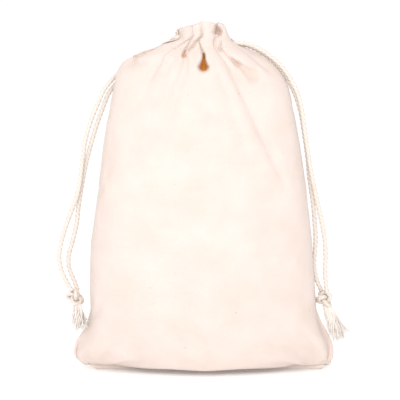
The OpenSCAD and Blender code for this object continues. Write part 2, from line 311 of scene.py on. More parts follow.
def path_frames(path):
    """Tangent, normal and binormal at each point, carried along so that nothing spins."""
    path = np.asarray(path)
    tangents = np.gradient(path, axis=0)
    tangents /= np.linalg.norm(tangents, axis=1)[:, None]
    start = np.array([0, 1, 0]) if abs(tangents[0][1]) < 0.9 else np.array([1, 0, 0])
    normals = [np.cross(tangents[0], start)]
    normals[0] /= np.linalg.norm(normals[0])
    for t in tangents[1:]:
        n = normals[-1] - t * np.dot(normals[-1], t)
        normals.append(n / np.linalg.norm(n))
    normals = np.array(normals)
    return tangents, normals, np.cross(tangents, normals)


def tube(path, sides, radius):
    """Points and faces of a closed tube. radius(angle, run, share) gives each point's distance."""
    path = np.asarray(path)
    _, normals, binormals = path_frames(path)
    run = np.concatenate([[0], np.cumsum(np.linalg.norm(np.diff(path, axis=0), axis=1))])
    points = []
    for i, centre in enumerate(path):
        for k in range(sides):
            angle = 2 * math.pi * k / sides
            r = radius(angle, run[i], run[i] / run[-1])
            points.append(centre + r * (normals[i] * math.cos(angle) + binormals[i] * math.sin(angle)))
    faces = []
    for i in range(len(path) - 1):
        for k in range(sides):
            a, b = i * sides + k, i * sides + (k + 1) % sides
            faces.append((a, b, b + sides, a + sides))
    last = (len(path) - 1) * sides
    faces.append(tuple(range(sides - 1, -1, -1)))
    faces.append(tuple(range(last, last + sides)))
    return points, faces


def join_parts(parts):
    """One list of points and faces from several."""
    points, faces = [], []
    for part_points, part_faces in parts:
        base = len(points)
        points.extend(part_points)
        faces.extend(tuple(i + base for i in face) for face in part_faces)
    return points, faces


def plied(diameter, lay):
    """Radius of a cord of three round plies, which turn once round it in each lay."""
    outer = diameter / 2
    ply = outer / (1 + 2 / math.sqrt(3))
    centre = outer - ply
    groove = 0.8 * outer
    sector = 2 * math.pi / 3

    def radius(angle, run, _share):
        turn = (angle + 2 * math.pi * run / lay) % sector - sector / 2
        inside = max(ply ** 2 - (centre * math.sin(turn)) ** 2, 0)
        return max(centre * math.cos(turn) + math.sqrt(inside), groove)
    return radius


def even(diameter):
    """Radius of a plain round thread."""
    return lambda _angle, _run, _share: diameter / 2


# --- Materials --------------------------------------------------------------------------------

def shaded(colour, *factors):
    """The colour times one factor, or times three for its red, green and blue."""
    factors = factors if len(factors) == 3 else factors * 3
    return tuple(min(1, c * k) for c, k in zip(colour, factors))


class Matt:
    """A new matt material, and the few kinds of node that its colours and bumps are made of."""

    def __init__(self, name, roughness, sheen=0.0):
        self.material = bpy.data.materials.new(name)
        self.material.use_nodes = True
        self.tree = self.material.node_tree
        self.shader = self.tree.nodes["Principled BSDF"]
        for key, value in (("Roughness", roughness), ("Specular IOR Level", 0.18),
                           ("Sheen Weight", sheen), ("Sheen Roughness", 0.5)):
            self.feed(self.shader.inputs[key], value)

    def feed(self, socket, value):
        """Gives a socket its value: a colour, a vector, a number or another node's socket."""
        if isinstance(value, (tuple, list)):
            socket.default_value = (*value, 1)[:len(socket.default_value)]
        elif isinstance(value, (int, float)):
            socket.default_value = value
        else:
            self.tree.links.new(value, socket)

    def node(self, kind, output, inputs, **settings):
        """One output of a new node with those inputs and settings."""
        node = self.tree.nodes.new(f"ShaderNode{kind}")
        for key, value in settings.items():
            setattr(node, key, value)
        for key, value in inputs.items():
            self.feed(node.inputs[key], value)
        return node.outputs[output]

    def mix(self, share, low, high):
        """Low mixed towards high by share."""
        return self.node("Mix", 2, {0: share, 6: low, 7: high}, data_type="RGBA")

    def math(self, operation, a, b):
        return self.node("Math", 0, {0: a, 1: b}, operation=operation)

    def ramp(self, value, low, high):
        """0 where value is low or less, 1 where it is high or more."""
        return self.node("MapRange", "Result", {"Value": value, "From Min": low, "From Max": high})

    def noise(self, vector, scale, stretch=(1, 1, 1), detail=2.0):
        """Noise at scale cells a metre, drawn out by stretch along each axis of vector."""
        cells = tuple(scale / s for s in stretch)
        place = self.node("Mapping", "Vector", {"Vector": vector, "Scale": cells})
        return self.node("TexNoise", "Fac", {"Vector": place, "Scale": 1.0, "Detail": detail})

    def bump(self, height, distance, strength, before=None):
        """A bumped normal, laid over the normal before it."""
        inputs = {"Height": height, "Distance": distance, "Strength": strength}
        if before:
            inputs["Normal"] = before
        return self.node("Bump", "Normal", inputs)


def calico(name="calico"):
    """Plain-woven unbleached cotton: crossing threads, slubs, a few seed flecks, a soft nap, and painted
    shade deep in the pleats and in the mouth.
    """
    if name in bpy.data.materials:
        return bpy.data.materials[name]
    cloth = bpy.context.scene.sack_cloth
    matt = Matt(name, 0.92, sheen=0.12)
    uv = matt.node("UVMap", "UV", {}, uv_map="cloth")
    axes = matt.node("SeparateXYZ", 0, {"Vector": uv}).node.outputs
    threads_per_metre, slub_length = 2400, 55
    waves = []
    for axis in ("X", "Y"):
        phase = matt.math("MULTIPLY", axes[axis], math.pi * threads_per_metre)
        waves.append(matt.math("SINE", phase, 0.0))
    weave = matt.math("MULTIPLY", *waves)
    weft = matt.noise(uv, threads_per_metre, (slub_length, 1, 1), 1.0)
    warp = matt.noise(uv, threads_per_metre, (1, slub_length, 1), 1.0)
    slubs = matt.math("ADD", weft, warp)
    tone = matt.noise(uv, 70, detail=3.0)
    fleck = matt.noise(uv, 700, (1.6, 1, 1), 0.0)
    colour = matt.mix(matt.ramp(tone, 0.3, 0.7), shaded(cloth.colour, 0.965, 0.945, 0.92),
                      shaded(cloth.colour, 1.03))
    thick_thread = matt.math("MULTIPLY", matt.ramp(weft, 0.64, 0.8), 0.45)
    colour = matt.mix(thick_thread, colour, shaded(cloth.colour, 0.86))
    seed = matt.math("MULTIPLY", matt.ramp(fleck, 0.85, 0.9), 0.4)
    colour = matt.mix(seed, colour, (0.42, 0.29, 0.17))
    # Painted shade: a warm brown mixed in deep in the pleats and in the mouth, where shade falls.
    hollow = matt.node("Attribute", "Fac", {}, attribute_name="hollow")
    colour = matt.mix(hollow, colour, tuple(cloth.hollow))
    matt.feed(matt.shader.inputs["Base Color"], colour)
    normal = matt.bump(weave, 0.00006, 0.35)
    normal = matt.bump(slubs, 0.00012, 0.5, normal)
    normal = matt.bump(tone, 0.0006, 0.35, normal)
    matt.feed(matt.shader.inputs["Normal"], normal)
    return matt.material


def cord_cotton(name="cord_cotton", tint=1.0):
    """Carded cotton cord: fine fibres along each ply, with painted shade in the grooves between the plies.
    """
    if name in bpy.data.materials:
        return bpy.data.materials[name]
    matt = Matt(name, 0.95, sheen=0.1)
    place = matt.node("TexCoord", "Object", {})
    fibres = matt.noise(place, 5200, (1, 1, 2.5), 3.0)
    tone = matt.noise(place, 260)
    base = shaded(bpy.context.scene.sack_cord.colour, tint)
    groove = matt.node("Attribute", "Fac", {}, attribute_name="groove")
    colour = matt.mix(matt.ramp(tone, 0.3, 0.7), shaded(base, 0.95), shaded(base, 1.05))
    colour = matt.mix(matt.ramp(fibres, 0.5, 0.8), colour, shaded(base, 0.84))
    # Painted shade in the grooves between the plies, where shade falls.
    colour = matt.mix(groove, colour, shaded(base, 0.86, 0.81, 0.76))
    matt.feed(matt.shader.inputs["Base Color"], colour)
    matt.feed(matt.shader.inputs["Normal"], matt.bump(fibres, 0.00012, 0.6))
    return matt.material


def sewing_thread(name="thread_cotton"):
    """Mercerised thread: a faint twist and a slightly silkier face than the cloth."""
    if name in bpy.data.materials:
        return bpy.data.materials[name]
    matt = Matt(name, 0.6, sheen=0.05)
    base = tuple(bpy.context.scene.sack_sewing.colour)
    twist = matt.noise(matt.node("TexCoord", "Object", {}), 6000, detail=1.0)
    colour = matt.mix(matt.ramp(twist, 0.35, 0.7), shaded(base, 0.88), base)
    matt.feed(matt.shader.inputs["Base Color"], colour)
    matt.feed(matt.shader.inputs["Normal"], matt.bump(twist, 0.00005, 0.5))
    return matt.material


def mark_grooves(piece, diameter, path):
    """Stores how deep each point of a cord lies between its plies, for its material's painted groove
    shade.
    """
    points = mesh_points(piece.data)
    path = np.asarray(path)
    depth = np.empty(len(points))
    batch = 2000
    for start in range(0, len(points), batch):
        part = points[start:start + batch]
        near = np.linalg.norm(part[:, None, :] - path[None, :, :], axis=2).min(axis=1)
        depth[start:start + batch] = np.clip((0.97 - near / (diameter / 2)) / 0.17, 0, 1)
    attribute = piece.data.attributes.new("groove", "FLOAT", "POINT")
    attribute.data.foreach_set("value", depth * 0.8)


# --- Stage ------------------------------------------------------------------------------------

def area_light(name, place, aim, size, power, colour=(1, 1, 1)):
    """A square light of that size at place, which faces aim."""
    light = bpy.data.lights.new(name, "AREA")
    light.size = size
    light.energy = power
    light.color = colour
    lamp = bpy.data.objects.new(name, light)
    lamp.location = place
    lamp.rotation_euler = (Vector(aim) - Vector(place)).to_track_quat("-Z", "Y").to_euler()
    bpy.context.scene.collection.objects.link(lamp)


class SACK_OT_stage(bpy.types.Operator):
    """Set up the camera, the white studio, the pale floor and the soft lights"""
    bl_idname = "sack.stage"
    bl_label = "Stage"

    def execute(self, context):
        scene = context.scene
        sizes = scene.sack_stage
        data = bpy.data.cameras.new("camera")
        data.lens = sizes.lens
        data.sensor_width = SENSOR_WIDTH
        camera = bpy.data.objects.new("camera", data)
        scene.collection.objects.link(camera)
        scene.camera = camera
        aim = Vector(VIEW_MIDDLE)
        distance = sizes.width * sizes.lens / SENSOR_WIDTH
        away = Vector((0, -math.cos(sizes.elevation), math.sin(sizes.elevation)))
        camera.location = aim + away * distance
        camera.rotation_euler = (aim - camera.location).to_track_quat("-Z", "Y").to_euler()
        data.clip_start = 0.01
        scene.view_settings.view_transform = "Standard"
        scene.view_settings.look = "None"

        world = scene.world or bpy.data.worlds.new("studio")
        scene.world = world
        world.use_nodes = True
        nodes, links = world.node_tree.nodes, world.node_tree.links
        nodes.clear()
        seen, light = nodes.new("ShaderNodeBackground"), nodes.new("ShaderNodeBackground")
        seen.inputs["Strength"].default_value = 1.05
        light.inputs["Strength"].default_value = sizes.surround
        for background in (seen, light):
            background.inputs["Color"].default_value = (1, 1, 1, 1)
        rays, mix = nodes.new("ShaderNodeLightPath"), nodes.new("ShaderNodeMixShader")
        links.new(rays.outputs["Is Camera Ray"], mix.inputs[0])
        links.new(light.outputs[0], mix.inputs[1])
        links.new(seen.outputs[0], mix.inputs[2])
        links.new(mix.outputs[0], nodes.new("ShaderNodeOutputWorld").inputs["Surface"])

        deselect_all()
        bpy.ops.mesh.primitive_plane_add(size=6, location=(0, 0, 0))
        floor = context.object
        floor.name = "floor"
        matt = Matt("floor_white", 0.9)
        for key, value in (("Base Color", tuple(sizes.floor)), ("Emission Color", (1, 1, 1)),
                           ("Emission Strength", 0.08)):
            matt.feed(matt.shader.inputs[key], value)
        floor.data.materials.append(matt.material)
        middle = (0, 0, SACK_TOP / 2)
        area_light("key", (-0.08, -0.9, 0.4), middle, 0.6, 4.35, (1, 0.99, 0.975))
        area_light("top", (-0.1, 0.1, 1.1), middle, 0.9, 0.8)
        return {"FINISHED"}


# --- Cords ------------------------------------------------------------------------------------

def strand_path(side, face, step):
    """The route of one strand, with the lead that stands in its vent in front of it."""
    y = face * STRAND_OFFSET
    route = [(NECK_X + side * VENT_REACH, y, CORD_Z[side])]
    route += [(x * MM, y + back * MM, z * MM) for x, z, back in ROUTES[side, face]]
    return smooth_path(route, step)


def knot_centre(side):
    """The middle of one tied knot."""
    low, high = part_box(f"{SIDE_NAMES[side]}_knot")
    across, up = KNOT_SHIFT[side]
    return (Vector(low) + Vector(high)) / 2 + Vector((across, 0, up)) * MM


class SACK_OT_knots(bpy.types.Operator):
    """Tie both strands of each cord in an overhand knot"""
    bl_idname = "sack.knots"
    bl_label = "Knots"

    def execute(self, context):
        cord = context.scene.sack_cord
        for side in (LEFT, RIGHT):
            name = f"{SIDE_NAMES[side]}_knot"
            low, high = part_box(name)
            centre = np.array(knot_centre(side))
            thick = 0.96 * cord.diameter
            reach = (high[0] - low[0]) / 2 - 0.3 * cord.diameter
            tallness, shallowness = 1.36, 0.6
            tilt = Matrix.Rotation(math.radians(20 * side), 3, "Z") @ Matrix.Rotation(
                math.radians(-38), 3, "Y")
            turn = np.linspace(0, 2 * math.pi, 97)[:-1]
            parts, paths = [], []
            for shift in (-1, 1):
                curve = np.stack([
                    (np.sin(turn) + 2 * np.sin(2 * turn)) / 3 * reach,
                    -np.sin(3 * turn) * shallowness * reach + shift * 0.4 * cord.diameter,
                    (np.cos(turn) - 2 * np.cos(2 * turn)) / 3 * reach * tallness,
                ], axis=1)
                curve = curve @ np.array(tilt).T + centre
                path = np.vstack([curve, curve[:1]])
                parts.append(tube(path, 14, plied(thick, cord.lay)))
                paths.append(path)
            knot = add_solid(f"{name}_tied", join_parts(parts), cord_cotton())
            mark_grooves(knot, thick, np.vstack(paths))
            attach(knot, f"{SIDE_NAMES[side]}_tail")
            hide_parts(name)
        return {"FINISHED"}


class SACK_OT_frayed_ends(bpy.types.Operator):
    """Untwist the ends of each cord below its knot into loose yarns"""
    bl_idname = "sack.frayed_ends"
    bl_label = "Frayed Ends"

    def execute(self, context):
        cord = context.scene.sack_cord
        for side in (LEFT, RIGHT):
            name = f"{SIDE_NAMES[side]}_frayed_ends"
            low, high = (Vector(corner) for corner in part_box(name))
            root = knot_centre(side) + Vector((0.8, 0, -2.4)) * MM
            tip = Vector((TASSEL_TIPS[side][0] * MM, low.y + 3.4 * MM, TASSEL_TIPS[side][1] * MM))
            lean = (tip - root).normalized()
            across = lean.cross(Vector((0, 1, 0))).normalized()
            deep = lean.cross(across)
            spread = 0.62 * (high.x - low.x)
            chance = random.Random(40 + side)
            parts = []
            for n in range(cord.fibres):
                # A third of the yarns stay coarse. Each leaves the knot and spreads in a slow swirl.
                coarse = n < cord.fibres // 3
                angle = chance.uniform(0, 2 * math.pi)
                out = math.sqrt(chance.random())
                start = 0.62 * cord.diameter * out
                end = spread * out * chance.uniform(0.6, 1.05)
                length = (tip - root).length * chance.uniform(0.7, 1.05)
                wave = chance.uniform(0.15, 0.5) * MM
                phase = chance.uniform(0, 6)
                points = []
                for i in range(11):
                    t = i / 10
                    swirl = angle + 1.3 * t
                    r = start + (end - start) * t ** 1.2
                    offset = across * (r * math.cos(swirl)) + deep * (0.75 * r * math.sin(swirl))
                    ripple = across * (wave * t * math.sin(phase + 9 * t))
                    ripple += deep * (wave * t * math.cos(phase + 8 * t))
                    points.append(root + lean * (length * t) + offset + ripple)
                thick = chance.uniform(*((0.34, 0.46) if coarse else (0.14, 0.22))) * MM
                parts.append(tube(points, 6, lambda a, r, s, w=thick: w * (1 - 0.5 * s ** 2)))
            ends = add_solid(f"{name}_yarns", join_parts(parts),
                             cord_cotton("frayed_yarn", tint=1.04))
            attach(ends, f"{SIDE_NAMES[side]}_tail")
            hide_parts(name)
        return {"FINISHED"}


class SACK_OT_strands(bpy.types.Operator):
    """Hang the four free strands from their vents to their knots"""
    bl_idname = "sack.strands"
    bl_label = "Cord Strands"

    def execute(self, context):
        cord = context.scene.sack_cord
        for (side, face), route in ROUTES.items():
            name = f"{SIDE_NAMES[side]}_{FACE_NAMES[face]}_strand"
            body = SIDE_NAMES[side]
            path = strand_path(side, face, 0.45 * MM)
            strand = add_solid(f"{name}_plied", tube(path, 18, plied(cord.diameter, cord.lay)),
                               cord_cotton())
            mark_grooves(strand, cord.diameter, path)
            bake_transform(strand)
            nodes = [name] + ([f"{body}_cord_lead"] if face == FRONT else [])
            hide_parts(*nodes)
        return {"FINISHED"}


def loop_radii(diameter):
    """Half width and half depth of the cords' way round the neck."""
    low, high = LOOP_BOXES[LEFT]
    half_width, half_depth = (high[0] - low[0]) / 2, (high[1] - low[1]) / 2
    return half_width - diameter / 2 - 1 * MM, half_depth - diameter / 2


class SACK_OT_cord_loops(bpy.types.Operator):
    """Run each cord round the neck inside its channel"""
    bl_idname = "sack.cord_loops"
    bl_label = "Cord Loops"

    def execute(self, context):
        cord = context.scene.sack_cord
        for side in (LEFT, RIGHT):
            body = SIDE_NAMES[side]
            a, b = loop_radii(cord.diameter)
            inner = NECK_X + side * VENT_REACH
            route = [(inner, FRONT * STRAND_OFFSET, CORD_Z[side])]
            for k in range(15):
                turn = math.radians(24 + 312 * k / 14)
                route.append((NECK_X + side * a * math.cos(turn), -b * math.sin(turn), CORD_Z[side]))
            route.append((inner, BACK * STRAND_OFFSET, CORD_Z[side]))
            path = smooth_path(route, 0.6 * MM)
            loop = add_solid(f"{body}_cord_in_channel",
                             tube(path, 12, plied(cord.diameter, cord.lay)), cord_cotton())
            mark_grooves(loop, cord.diameter, path)
            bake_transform(loop)
            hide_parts(f"{body}_cord_loop")
        return {"FINISHED"}


# --- Cloth ------------------------------------------------------------------------------------

def smoothstep(low, high, x):
    """0 below low, 1 above high, and smooth between them."""
    t = np.clip((x - low) / (high - low), 0, 1)
    return t * t * (3 - 2 * t)


def panel_rings():
    """Heights of the CAD panel's rings, and each one's left, right and front, in metres."""
    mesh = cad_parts["front_panel"].data
    rings = {}
    for vertex in mesh.vertices:
        rings.setdefault(round(vertex.co.z, 5), []).append(vertex.co)
    rows = [(z, min(p.x for p in ring), max(p.x for p in ring), min(p.y for p in ring))
            for z, ring in sorted(rings.items()) if len(ring) > 8]
    return np.array(rows)


class Pattern:
    """The two panels as one grid of points: where each lies flat, and where it is gathered."""

    def __init__(self, sizes):
        self.columns, self.rows = sizes.columns, sizes.rows
        self.width, self.height = sizes.flat_width, sizes.flat_height
        self.ruffle = SACK_TOP - NECK_Z
        self.neck_v = self.height - self.ruffle
        self.vent_row = int(round((self.neck_v - VENT_DROP) / self.height * self.rows))
        self.rings = panel_rings()
        self.levels = np.linspace(0, NECK_Z, 120)
        left, right, front = self.outline(self.levels)
        self.side_climb = self.climb((right - left) / 2)
        self.middle_climb = self.climb(front)
        self.index = {}
        self.where = []
        for face in (FRONT, BACK):
            for j in range(self.rows + 1):
                for i in range(self.columns + 1):
                    shared = j == 0 or (i in (0, self.columns) and j <= self.vent_row)
                    if face == BACK and shared:
                        self.index[face, i, j] = self.index[FRONT, i, j]
                        continue
                    self.index[face, i, j] = len(self.where)
                    self.where.append((0 if shared else face, face, i, j))

    def quads(self):
        """Faces of both panels, with each face's panel and the grid places of its corners."""
        for face in (FRONT, BACK):
            for j in range(self.rows):
                for i in range(self.columns):
                    corners = [(i, j), (i + 1, j), (i + 1, j + 1), (i, j + 1)]
                    if face == BACK:
                        corners.reverse()
                    yield face, corners, [self.index[face, c, r] for c, r in corners]

    def flat(self, kind, _face, i, j):
        """Where a point lies on the cloth as it is cut."""
        half = self.width / 2
        return ((2 * i / self.columns - 1) * half, kind * 0.1 * MM, j / self.rows * self.height)

    def outline(self, z):
        """Left, right and front of the sack at height z, in metres."""
        left, right, front = (np.interp(z, self.rings[:, 0], self.rings[:, k]) for k in (1, 2, 3))
        below = (NECK_Z - z) / MM
        return [left - np.interp(below, *zip(*SIDE_SWELL[LEFT])) * MM,
                right + np.interp(below, *zip(*SIDE_SWELL[RIGHT])) * MM, front]

    def climb(self, distances):
        """How far up the cloth each level lies, along an outline of distances at the levels."""
        steps = np.hypot(np.diff(distances), np.diff(self.levels))
        run = np.concatenate([[0], np.cumsum(steps)])
        return run / run[-1] * self.neck_v

    def heights(self, v, edge):
        """Height of the cloth v up a panel, and the height of the section that it belongs to."""
        share_up = np.clip((v - BASE_CLOTH) / (self.neck_v - BASE_CLOTH), 0, 1) * self.neck_v
        middle = np.interp(share_up, self.middle_climb, self.levels)
        side_up = np.interp(v, self.side_climb, self.levels)
        section = min(0.5 * (side_up + np.interp(v, self.middle_climb, self.levels)), NECK_Z)
        section += (side_up - section) * edge ** 2
        return middle + (side_up - middle) * edge ** 3, section

    def pleat(self, face, s, v, above):
        """How far round its section a point s across a panel lies, and how deep in a pleat."""
        folds = (0, *CREASES[face], 180)
        gather = smoothstep(0.7, 1.0, v / self.neck_v)
        bunched = np.interp(s, np.linspace(0, 1, len(folds)), folds)
        turn = math.radians((1 - gather) * 180 * s + gather * bunched)
        lobe = abs(math.sin(math.pi * s * (len(folds) - 1)))
        narrow, wide = (1 - lobe) ** 3, 1 - lobe ** 0.8
        dip = ((0.17 - 0.16 * above) * narrow + (0.1 - 0.05 * above) * wide) * gather ** 3
        inside = s * (len(folds) - 1)
        at_seam = inside < 0.5 or inside > len(folds) - 1.5
        return turn, 0 if at_seam else dip

    def gathered(self, kind, face, i, j):
        """Where a point lies on the filled sack, with its neck drawn into pleats."""
        s = i / self.columns
        v = j / self.rows * self.height
        edge = abs(2 * s - 1)
        above = np.clip((v - self.neck_v) / self.ruffle, 0, 1)
        z, section = self.heights(v, edge)
        left, right, front = self.outline(section)
        turn, dip = self.pleat(face, s, v, above)
        power = 2 / np.interp(section / NECK_Z, *zip(*SECTION_POWER))
        cosine, sine = math.cos(turn), math.sin(turn)
        half = (right - left) / 2 * (1 - dip)
        deep = max(-front * np.clip(v / BASE_CLOTH, 0, 1), 0.3 * MM) * (1 - dip)
        x = (left + right) / 2 - half * math.copysign(abs(cosine) ** power, cosine)
        y = face * deep * abs(sine) ** power
        if above > 0:
            top = np.interp(s, *zip(*RUFFLE_TOPS[face]))
            z = NECK_Z + above * self.ruffle * top
            flare = 1 + 0.03 * above * math.sin(7 * s + 2 * face) + 0.14 * above * (1 - 2 * s)
            x, y = NECK_X + (x - NECK_X) * flare, y * flare
        if kind != 0 and edge == 1 and j > self.vent_row:
            y = face * VENT_GAP
        return x, (0 if kind == 0 else y), max(z, 0.6 * MM)

    def points(self, place):
        return np.array([place(*where) for where in self.where])


def settle(pattern, sizes):
    """Where every point comes to rest: the flat cut, gathered, filled and stood on a floor."""
    start, flat = pattern.points(pattern.gathered), pattern.points(pattern.flat)
    faces = [corners for _, _, corners in pattern.quads()]
    cloth = add_mesh("settling", flat * SETTLING_SCALE, faces)
    cloth.shape_key_add(name="flat")
    drawn = cloth.shape_key_add(name="gathered")
    drawn.data.foreach_set("co", (start * SETTLING_SCALE).ravel())
    drawn.value = 1.0
    held = cloth.vertex_groups.new(name="held")
    for n, (_, _, _, j) in enumerate(pattern.where):
        v = j / pattern.rows * pattern.height
        if j == 0 or v >= pattern.neck_v - HELD_BAND:
            held.add([n], 1.0, "REPLACE")
    modifier = cloth.modifiers.new("cloth", "CLOTH")
    rules = modifier.settings
    rules.quality = 7
    rules.mass = 0.25
    rules.air_damping = 3
    rules.tension_stiffness = rules.compression_stiffness = 40
    rules.shear_stiffness = 12
    rules.bending_model = "ANGULAR"
    rules.bending_stiffness = sizes.stiffness
    rules.tension_damping = rules.compression_damping = rules.shear_damping = 8
    rules.bending_damping = 0.6
    rules.use_pressure = True
    rules.uniform_pressure_force = sizes.pressure
    rules.vertex_group_mass = "held"
    rules.rest_shape_key = cloth.data.shape_keys.key_blocks["flat"]
    rules.effector_weights.gravity = 0.25
    modifier.collision_settings.distance_min = 0.004
    deselect_all()
    bpy.ops.mesh.primitive_plane_add(size=6, location=(0, 0, 0))
    ground = bpy.context.object
    ground.modifiers.new("collision", "COLLISION")
    scene = bpy.context.scene
    for step in range(1, sizes.frames + 1):
        scene.frame_set(step)
    settled = cloth.evaluated_get(bpy.context.evaluated_depsgraph_get())
    points = mesh_points(settled.data) / SETTLING_SCALE
    scene.frame_set(1)
    for spare in (cloth, ground):
        bpy.data.objects.remove(spare, do_unlink=True)
    if not np.isfinite(points).all() or np.abs(points).max() > 2 * SACK_TOP:
        raise RuntimeError("the cloth did not come to rest")
    return points


def fit_outline(points, pattern):
    """Draws the settled cloth in or out until it has the frame's width and depth at each height."""
    fitted = points.copy()
    z = points[:, 2]
    step, band = 2 * MM, 1.3 * MM
    levels = np.arange(step, NECK_Z - 3 * MM, step)
    lows, highs, fronts, backs = [], [], [], []
    for level in levels:
        near = points[np.abs(z - level) < band]
        lows.append(near[:, 0].min())
        highs.append(near[:, 0].max())
        fronts.append(-near[:, 1].min())
        backs.append(near[:, 1].max())
    kernel = np.array([1, 2, 1]) / 4
    extents = []
    for values in (lows, highs, fronts, backs):
        padded = np.pad(np.array(values), 1, mode="edge")
        extents.append(np.interp(z, levels, np.convolve(padded, kernel, mode="valid")))
    low, high, front, back = extents
    left, right, cad_front = pattern.outline(z)
    share = (points[:, 0] - low) / np.maximum(high - low, 1 * MM)
    # The neck keeps its own shape, and the base its own depth.
    keep = 1 - smoothstep(NECK_Z - 9 * MM, NECK_Z - 4 * MM, z)
    fitted[:, 0] += keep * (left + share * (right - left) - points[:, 0])
    deep = np.where(points[:, 1] < 0, front, back)
    grow = np.clip(-cad_front / np.maximum(deep, 1 * MM), 0.5, 1.6)
    lift = smoothstep(0, 25 * MM, z)
    fitted[:, 1] *= 1 + keep * lift * (grow - 1)
    fitted[:, 2] = np.maximum(fitted[:, 2], 0.5 * MM)
    return fitted


def panel_mesh(pattern, points, face, name):
    """One panel with its cloth UV map, in metres along the flat cut."""
    rows, uvs, used = [], [], {}
    for panel, corners, indices in pattern.quads():
        if panel != face:
            continue
        rows.append([used.setdefault(n, len(used)) for n in indices])
        uvs.extend((i / pattern.columns * pattern.width, j / pattern.rows * pattern.height)
                   for i, j in corners)
    numbers = sorted(used, key=used.get)
    piece = add_mesh(name, points[numbers], rows, calico())
    layer = piece.data.uv_layers.new(name="cloth")
    layer.data.foreach_set("uv", np.array(uvs).ravel())
    return piece


def mark_hollows(piece, face):
    """Presses in the open pleats of the front, and stores how much painted shade each point gets in the
    pleats and the mouth.
    """
    mesh = piece.data
    points = mesh_points(mesh)
    pleat_shade = np.zeros(len(points))
    for top, bottom, wide, deep, shade in PLEAT_HOLLOWS if face == FRONT else ():
        start, end = np.array(top) * MM, np.array(bottom) * MM
        flat = points[:, [0, 2]]
        along = np.clip((flat - start) @ (end - start) / ((end - start) @ (end - start)), 0, 1)
        nearest = start + along[:, None] * (end - start)
        away = np.linalg.norm(flat - nearest, axis=1)
        # A pleat opens and deepens towards its bottom, and only in the front wall.
        half = wide * MM * (0.2 + 0.8 * along ** 2)
        pit = np.exp(-(away / half) ** 3) * np.where(points[:, 1] < 2 * MM, 1, 0)
        points[:, 1] += deep * MM * pit * (0.45 + 0.55 * along)
        # Painted shade, strongest along the middle of each pleat.
        pleat_shade = np.maximum(pleat_shade, shade * (1 - smoothstep(0.55, 1.15, away / half)))
    mesh.vertices.foreach_set("co", points.ravel())
    # The mouth gets painted shade inside the cords' ring.
    reach = np.hypot(points[:, 0] - NECK_X, points[:, 1] * 1.16)
    inner = 1 - smoothstep(4.5 * MM, 10 * MM, reach)
    high = smoothstep(NECK_Z - 6 * MM, NECK_Z, points[:, 2])
    attribute = mesh.attributes.new("hollow", "FLOAT", "POINT")
    attribute.data.foreach_set("value", np.maximum(0.35 * inner * high, pleat_shade))


class Settled:
    """The settled cloth, kept so that the sewing can be laid on it."""
    pattern = None
    points = None


class SACK_OT_panels(bpy.types.Operator):
    """Cut, gather, fill and settle the two calico panels"""
    bl_idname = "sack.panels"
    bl_label = "Panels and Hems"

    def execute(self, context):
        sizes = context.scene.sack_cloth
        pattern = Pattern(sizes)
        points = fit_outline(settle(pattern, sizes), pattern)
        Settled.pattern, Settled.points = pattern, points
        for face in (FRONT, BACK):
            name = FACE_NAMES[face]
            panel = panel_mesh(pattern, points, face, f"{name}_calico")
            soft = panel.modifiers.new("soft", "SUBSURF")
            soft.levels = soft.render_levels = 1
            apply_modifier(panel, soft)
            shade_smooth(panel)
            mark_hollows(panel, face)
            self.add_hem(panel, pattern, face, sizes)
            thicken(panel, sizes.thickness)
            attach(panel, "sack")
            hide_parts(f"{name}_panel")
        return {"FINISHED"}

    def add_hem(self, panel, pattern, face, sizes):
        """Turns the top of the panel in, down to the stitches below the channel."""
        name = FACE_NAMES[face]
        hem = panel.copy()
        hem.data = panel.data.copy()
        hem.name = f"{name}_turned_hem"
        bpy.context.scene.collection.objects.link(hem)
        low = pattern.neck_v - CHANNEL_DROP - 1 * MM
        mesh = bmesh.new()
        mesh.from_mesh(hem.data)
        layer = mesh.loops.layers.uv["cloth"]
        below = [f for f in mesh.faces
                 if sum(loop[layer].uv.y for loop in f.loops) / len(f.loops) < low]
        bmesh.ops.delete(mesh, geom=below, context="FACES")
        mesh.normal_update()
        # The hem passes inside the cords in loose waves, which makes the channel that holds them.
        diameter = bpy.context.scene.sack_cord.diameter
        clearance = 0.8 * MM
        a, b = (radius - diameter / 2 - clearance for radius in loop_radii(diameter))
        for vertex in mesh.verts:
            vertex.co -= vertex.normal * 1.15 * sizes.thickness
            x, y, z = vertex.co
            reach = math.hypot((x - NECK_X) / a, y / b)
            lobe = 0.8 + 0.2 * math.cos(7 * math.atan2(y, x - NECK_X))
            inward = min(1, lobe / max(reach, 0.01)) - 1
            inward *= 1 - smoothstep(3 * MM, 6.5 * MM, abs(z - NECK_Z))
            vertex.co.x += (x - NECK_X) * inward
            vertex.co.y += y * inward
        mesh.to_mesh(hem.data)
        mesh.free()
        thicken(hem, sizes.thickness)
        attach(hem, "sack")
        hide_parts(f"{name}_hem")


# --- Sewing -----------------------------------------------------------------------------------

def on_cloth(face, u, v):
    """The point u across and v up a panel of the settled cloth, with the way out of the sack."""
    pattern, points = Settled.pattern, Settled.points
    column = min(max(u / pattern.width, 0), 1) * pattern.columns
    row = min(max(v / pattern.height, 0), 1) * pattern.rows
    i, j = min(int(column), pattern.columns - 1), min(int(row), pattern.rows - 1)
    a, b = column - i, row - j
    corner = [points[pattern.index[face, i + x, j + y]] for y in (0, 1) for x in (0, 1)]
    along, up = corner[1] - corner[0], corner[2] - corner[0]
    out = np.cross(along, up) * -face
    out = out / max(np.linalg.norm(out), 1e-12)
    low = corner[0] * (1 - a) + corner[1] * a
    high = corner[2] * (1 - a) + corner[3] * a
    return low * (1 - b) + high * b, out


